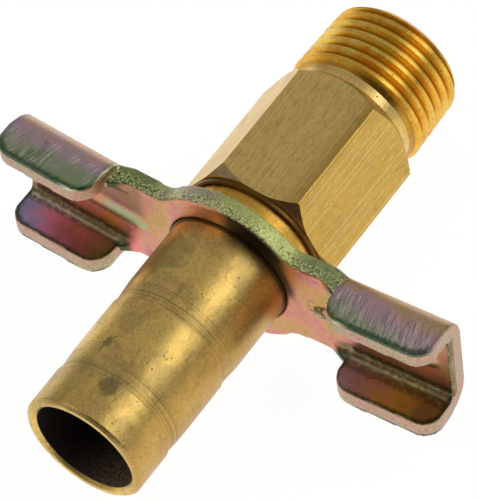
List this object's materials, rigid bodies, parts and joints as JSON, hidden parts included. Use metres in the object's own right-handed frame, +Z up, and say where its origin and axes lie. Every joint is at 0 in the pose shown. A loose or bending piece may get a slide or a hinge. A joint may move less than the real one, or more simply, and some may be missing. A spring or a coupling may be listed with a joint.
{
  "type": "drain cock",
  "caption": "Hose-end drain cock: hexagonal brass body with a tapered pipe thread, hollow screw stem ending in a shouldered hose nozzle, opened by a stamped plated wing handle.",
  "frame": {"origin": "on the turning axis at the small end of the pipe thread", "axes": "+Y along the turning axis and out of the pipe end, so the hose mouth points to -Y; X along the wings; +Z up when the cock lies on a bench"},
  "size_m": [0.0732, 0.0796, 0.0268],
  "materials": {
    "body_brass": "drawn hexagon bar, turned ends, slightly dulled",
    "stem_brass": "turned brass with fine rings and tarnish",
    "seal_rubber": "black nitrile",
    "plated_steel": "zinc plate with iridescent yellow chromate"
  },
  "bodies": {
    "body": {"hex_body": "body_brass"},
    "seal": {"stem_seal": "seal_rubber"},
    "stem": {"hose_stem": "stem_brass", "wing_handle": "plated_steel"}
  },
  "joints": [
    {"name": "stem_travel", "type": "slide", "parent": "body", "child": "seal", "axis": [0, -1, 0], "range_m": [0, 0.00301]},
    {"name": "handle_turn", "type": "hinge", "parent": "seal", "child": "stem", "pos_m": [0, -0.0442, 0], "axis": [0, -1, 0], "range_deg": [0, 720]}
  ],
  "couplings": [
    {"joint": "stem_travel", "follows": "handle_turn", "m_per_rad": 0.00023873}
  ]
}
